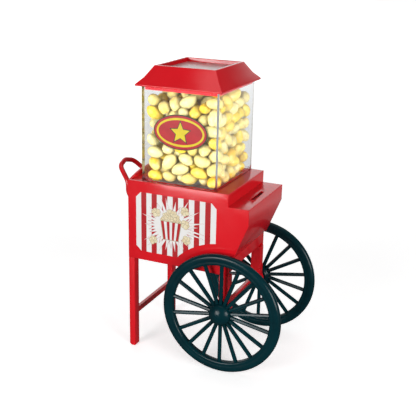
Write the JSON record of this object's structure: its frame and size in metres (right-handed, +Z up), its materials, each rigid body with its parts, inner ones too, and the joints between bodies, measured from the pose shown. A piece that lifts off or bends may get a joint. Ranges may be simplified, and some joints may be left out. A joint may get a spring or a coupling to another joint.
{
  "type": "popcorn cart candy dispenser",
  "caption": "Tabletop candy dispenser shaped as an old popcorn cart: red body on spoked wheels and back legs, clear hopper under a hipped lid, coin slot in the nose and a pull-out drawer.",
  "frame": {"origin": "on the ground, under the middle of the object's box", "axes": "+X to the nose where the candy comes out, +Y to the far side, +Z up; the side with the emblem faces -Y"},
  "size_m": [0.1944, 0.1256, 0.285],
  "materials": {
    "red_plastic": "glossy moulded red plastic",
    "clear_plastic": "clear moulded polystyrene",
    "smoked_plastic": "translucent smoked sheet",
    "wheel_plastic": "glossy green-black moulded plastic",
    "white_plastic": "satin white moulded plastic",
    "label_print": "printed self-adhesive label",
    "emblem_print": "printed self-adhesive emblem",
    "screw_steel": "zinc-plated steel",
    "axle_steel": "drawn steel rod and stamped rings",
    "plug_rubber": "soft black rubber"
  },
  "bodies": {
    "cart": {"near_side_panel": "red_plastic", "far_side_panel": "red_plastic", "deck_plate": "red_plastic", "nose_cover": "red_plastic", "back_panel": "red_plastic", "bottom_cover": "red_plastic", "push_handle": "red_plastic", "near_back_leg": "red_plastic", "far_back_leg": "red_plastic", "back_leg_brace": "red_plastic", "near_front_leg": "red_plastic", "far_front_leg": "red_plastic", "front_leg_brace": "red_plastic", "funnel": "white_plastic", "coin_chute": "white_plastic", "hopper_box": "clear_plastic", "hopper_emblem": "emblem_print", "near_label": "label_print", "far_label": "label_print", "handle_screws": "screw_steel", "bottom_cover_screws": "screw_steel", "axle": "axle_steel", "axle_washers": "axle_steel", "axle_push_nuts": "axle_steel"},
    "lid": {"lid_roof": "red_plastic", "lid_window": "smoked_plastic"},
    "drawer": {"bean_drawer": "red_plastic", "drawer_front": "red_plastic"},
    "plug": {"bank_plug": "plug_rubber"},
    "near_wheel_set": {"near_wheel": "wheel_plastic", "near_hub_cap": "wheel_plastic"},
    "far_wheel_set": {"far_wheel": "wheel_plastic", "far_hub_cap": "wheel_plastic"}
  },
  "joints": [
    {"name": "lid_lift", "type": "slide", "parent": "cart", "child": "lid", "axis": [0, 0, 1], "range_m": [0, 0.03]},
    {"name": "drawer_pull", "type": "slide", "parent": "cart", "child": "drawer", "axis": [1, 0, 0], "range_m": [0, 0.036]},
    {"name": "plug_pull", "type": "slide", "parent": "cart", "child": "plug", "axis": [0, 0, -1], "range_m": [0, 0.012]},
    {"name": "near_wheel_spin", "type": "hinge", "parent": "cart", "child": "near_wheel_set", "pos_m": [0.0372, 0, 0.06], "axis": [0, 1, 0], "continuous": true},
    {"name": "far_wheel_spin", "type": "hinge", "parent": "cart", "child": "far_wheel_set", "pos_m": [0.0372, 0, 0.06], "axis": [0, 1, 0], "continuous": true}
  ]
}
